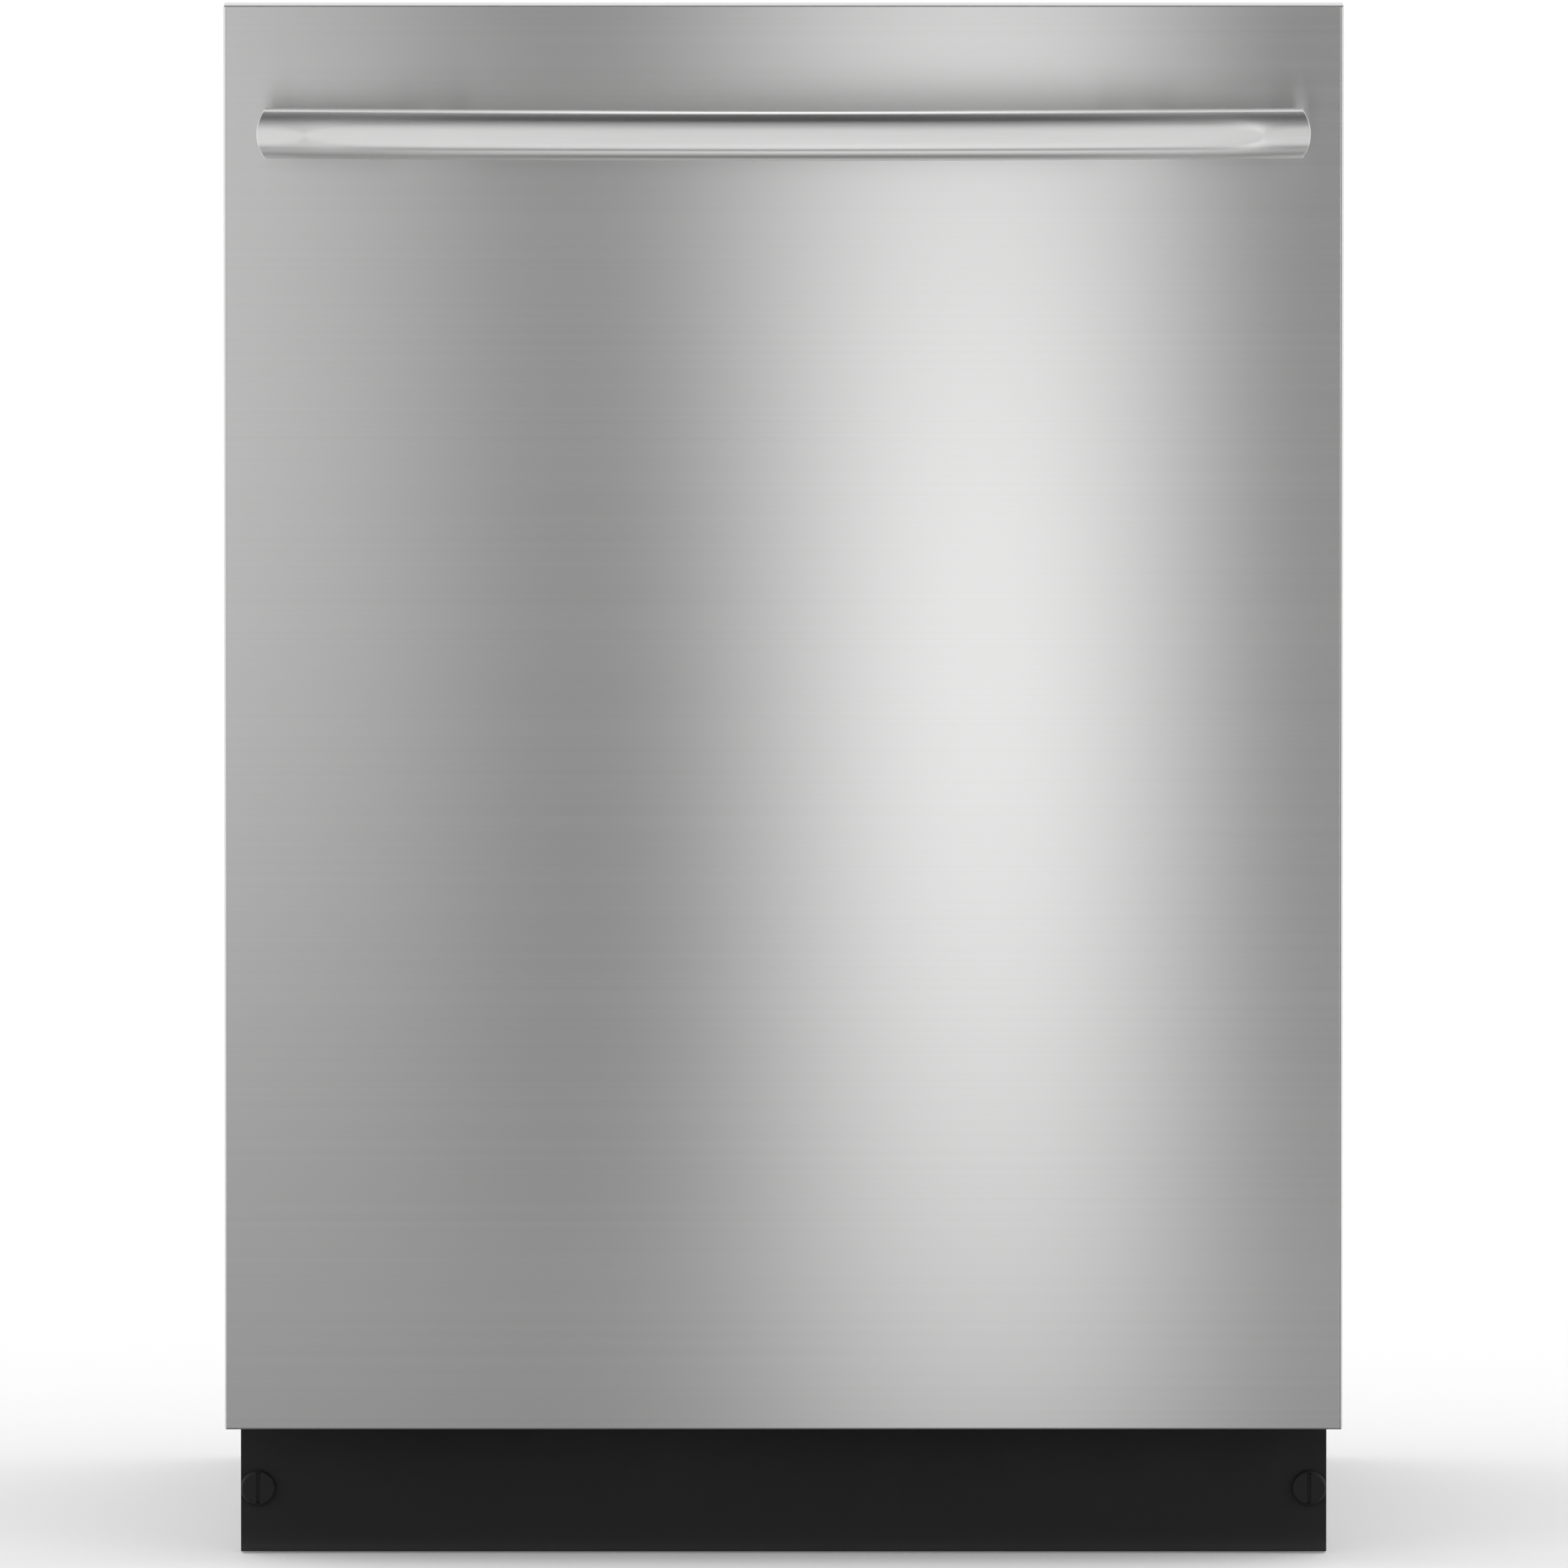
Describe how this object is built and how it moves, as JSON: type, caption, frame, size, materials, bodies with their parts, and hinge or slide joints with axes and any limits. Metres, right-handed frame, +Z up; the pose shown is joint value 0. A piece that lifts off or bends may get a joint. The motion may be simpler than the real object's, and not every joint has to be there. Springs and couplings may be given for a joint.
{
  "type": "built-in dishwasher",
  "caption": "Front loading under-counter dishwasher with a drop-down steel door, bowed bar handle, steel tub, sliding racks and spray arms.",
  "frame": {"origin": "on the floor under the middle of the machine", "axes": "+Z up, +Y from the door towards the rear, +X to the right as seen from the front"},
  "size_m": [0.606, 0.6744, 0.8475],
  "materials": {
    "brushed_steel_front": "horizontal brushed grain, satin",
    "handle_steel": "fine brushed, brighter than the panel",
    "tub_steel": "smooth bright stainless",
    "plated_steel": "zinc plated",
    "black_paint": "matte black",
    "black_plastic": "fine moulded texture",
    "grey_plastic": "moulded satin",
    "white_plastic": "moulded satin",
    "coated_wire": "nylon coated wire",
    "rubber": "matte",
    "felt": "matted fibre",
    "spring_steel": "bright drawn wire"
  },
  "bodies": {
    "root": {"access_panel": "plated_steel", "base_frame": "black_paint", "counter_bracket_left": "plated_steel", "counter_bracket_right": "plated_steel", "door_spring_left": "spring_steel", "door_spring_right": "spring_steel", "drain_hose": "rubber", "drain_pump": "white_plastic", "feed_tube": "grey_plastic", "filter_plate": "tub_steel", "heating_element": "plated_steel", "junction_box": "plated_steel", "latch_strike": "plated_steel", "rack_rail_left": "tub_steel", "rack_rail_right": "tub_steel", "sound_blanket": "felt", "sump_housing": "grey_plastic", "toe_kick_panel": "black_paint", "tub_back": "tub_steel", "tub_floor": "tub_steel", "tub_gasket": "rubber", "tub_wrapper": "tub_steel", "wash_pump_motor": "white_plastic", "water_inlet_valve": "white_plastic"},
    "door": {"door_outer_panel": "brushed_steel_front", "door_inner_liner": "tub_steel", "control_console": "black_plastic", "control_module": "grey_plastic", "handle_bar": "handle_steel", "handle_standoff_left": "handle_steel", "handle_standoff_right": "handle_steel", "door_insulation": "felt", "detergent_dispenser": "grey_plastic", "hinge_arm_left": "plated_steel", "hinge_arm_right": "plated_steel"},
    "dispenser_lid": {"dispenser_lid": "grey_plastic"},
    "rinse_aid_cap": {"rinse_aid_cap": "black_plastic"},
    "latch_hook": {"latch_hook": "plated_steel"},
    "key_power": {"key_power": "black_plastic"},
    "key_cycle": {"key_cycle": "black_plastic"},
    "key_options": {"key_options": "black_plastic"},
    "key_start": {"key_start": "black_plastic"},
    "toe_fastener_left": {"toe_fastener_left": "black_paint"},
    "toe_fastener_right": {"toe_fastener_right": "black_paint"},
    "leg_front_left": {"leg_front_left": "plated_steel"},
    "leg_front_right": {"leg_front_right": "plated_steel"},
    "leg_rear_left": {"leg_rear_left": "plated_steel"},
    "leg_rear_right": {"leg_rear_right": "plated_steel"},
    "wash_impeller": {"wash_impeller": "black_plastic"},
    "filter_cup": {"filter_cup": "grey_plastic"},
    "lower_spray_arm": {"lower_spray_arm": "grey_plastic"},
    "top_spray_arm": {"top_spray_arm": "grey_plastic"},
    "upper_rack": {"upper_rack": "coated_wire"},
    "mid_spray_arm": {"mid_spray_arm": "grey_plastic"},
    "lower_rack": {"lower_rack": "coated_wire"},
    "cutlery_basket": {"cutlery_basket": "grey_plastic"},
    "rack_wheel_front_left": {"rack_wheel_front_left": "grey_plastic"},
    "rack_wheel_front_right": {"rack_wheel_front_right": "grey_plastic"},
    "rack_wheel_rear_left": {"rack_wheel_rear_left": "grey_plastic"},
    "rack_wheel_rear_right": {"rack_wheel_rear_right": "grey_plastic"}
  },
  "joints": [
    {"name": "door_hinge", "type": "hinge", "parent": "root", "child": "door", "pos_m": [0, -0.24275, 0.114], "axis": [1, 0, 0], "range_deg": [0, 90], "stiffness_Nm_per_rad": 20, "deforming": ["door_spring_left", "door_spring_right"]},
    {"name": "lower_rack_slide", "type": "slide", "parent": "root", "child": "lower_rack", "axis": [0, -1, 0], "range_m": [0, 0.1581]},
    {"name": "upper_rack_slide", "type": "slide", "parent": "root", "child": "upper_rack", "axis": [0, -1, 0], "range_m": [0, 0.4094]},
    {"name": "wheel_spin_front_left", "type": "hinge", "parent": "lower_rack", "child": "rack_wheel_front_left", "pos_m": [-0.257, -0.07775, 0.1633], "axis": [1, 0, 0], "range_deg": [0, 535]},
    {"name": "wheel_spin_front_right", "type": "hinge", "parent": "lower_rack", "child": "rack_wheel_front_right", "pos_m": [0.257, -0.07775, 0.1633], "axis": [1, 0, 0], "range_deg": [0, 535]},
    {"name": "wheel_spin_rear_left", "type": "hinge", "parent": "lower_rack", "child": "rack_wheel_rear_left", "pos_m": [-0.257, 0.23725, 0.1633], "axis": [1, 0, 0], "range_deg": [0, 535]},
    {"name": "wheel_spin_rear_right", "type": "hinge", "parent": "lower_rack", "child": "rack_wheel_rear_right", "pos_m": [0.257, 0.23725, 0.1633], "axis": [1, 0, 0], "range_deg": [0, 535]},
    {"name": "cutlery_basket_lift", "type": "slide", "parent": "lower_rack", "child": "cutlery_basket", "axis": [0, 0, 1], "range_m": [0, 0.1]},
    {"name": "mid_arm_spin", "type": "hinge", "parent": "upper_rack", "child": "mid_spray_arm", "pos_m": [0, 0.05525, 0.4685], "axis": [0, 0, 1], "continuous": true},
    {"name": "lower_arm_spin", "type": "hinge", "parent": "root", "child": "lower_spray_arm", "pos_m": [0, 0.05525, 0.1535], "axis": [0, 0, 1], "continuous": true},
    {"name": "top_arm_spin", "type": "hinge", "parent": "root", "child": "top_spray_arm", "pos_m": [0, 0.05525, 0.763], "axis": [0, 0, 1], "continuous": true},
    {"name": "wash_impeller_spin", "type": "hinge", "parent": "root", "child": "wash_impeller", "pos_m": [0.11, 0.05525, 0.0837], "axis": [1, 0, 0], "continuous": true},
    {"name": "filter_twist", "type": "hinge", "parent": "root", "child": "filter_cup", "pos_m": [0, 0.00325, 0.1091], "axis": [0, 0, 1], "range_deg": [0, 45]},
    {"name": "dispenser_lid_slide", "type": "slide", "parent": "door", "child": "dispenser_lid", "axis": [-1, 0, 0], "range_m": [0, 0.08]},
    {"name": "rinse_cap_turn", "type": "hinge", "parent": "door", "child": "rinse_aid_cap", "pos_m": [0.0885, -0.208, 0.5], "axis": [0, 1, 0], "range_deg": [0, 90]},
    {"name": "latch_hook_pivot", "type": "hinge", "parent": "door", "child": "latch_hook", "pos_m": [0, -0.23075, 0.8265], "axis": [-1, 0, 0], "range_deg": [0, 4], "stiffness_Nm_per_rad": 0.4},
    {"name": "key_power_press", "type": "slide", "parent": "door", "child": "key_power", "axis": [0, 0, -1], "range_m": [0, 0.0012], "stiffness_N_per_m": 500},
    {"name": "key_cycle_press", "type": "slide", "parent": "door", "child": "key_cycle", "axis": [0, 0, -1], "range_m": [0, 0.0012], "stiffness_N_per_m": 500},
    {"name": "key_options_press", "type": "slide", "parent": "door", "child": "key_options", "axis": [0, 0, -1], "range_m": [0, 0.0012], "stiffness_N_per_m": 500},
    {"name": "key_start_press", "type": "slide", "parent": "door", "child": "key_start", "axis": [0, 0, -1], "range_m": [0, 0.0012], "stiffness_N_per_m": 500},
    {"name": "toe_fastener_left_turn", "type": "hinge", "parent": "root", "child": "toe_fastener_left", "pos_m": [-0.2858, -0.2013, 0.036], "axis": [0, 1, 0], "range_deg": [0, 90]},
    {"name": "toe_fastener_right_turn", "type": "hinge", "parent": "root", "child": "toe_fastener_right", "pos_m": [0.2858, -0.2013, 0.036], "axis": [0, 1, 0], "range_deg": [0, 90]},
    {"name": "leg_front_left_adjust", "type": "slide", "parent": "root", "child": "leg_front_left", "axis": [0, 0, -1], "range_m": [0, 0.025]},
    {"name": "leg_front_right_adjust", "type": "slide", "parent": "root", "child": "leg_front_right", "axis": [0, 0, -1], "range_m": [0, 0.025]},
    {"name": "leg_rear_left_adjust", "type": "slide", "parent": "root", "child": "leg_rear_left", "axis": [0, 0, -1], "range_m": [0, 0.025]},
    {"name": "leg_rear_right_adjust", "type": "slide", "parent": "root", "child": "leg_rear_right", "axis": [0, 0, -1], "range_m": [0, 0.025]}
  ],
  "couplings": [
    {"joint": "lower_rack_slide", "follows": "door_hinge", "m_per_rad": 0.1},
    {"joint": "upper_rack_slide", "follows": "door_hinge", "m_per_rad": 0.26},
    {"joint": "wheel_spin_front_left", "follows": "door_hinge", "ratio": 5.8824},
    {"joint": "wheel_spin_front_right", "follows": "door_hinge", "ratio": 5.8824},
    {"joint": "wheel_spin_rear_left", "follows": "door_hinge", "ratio": 5.8824},
    {"joint": "wheel_spin_rear_right", "follows": "door_hinge", "ratio": 5.8824}
  ]
}
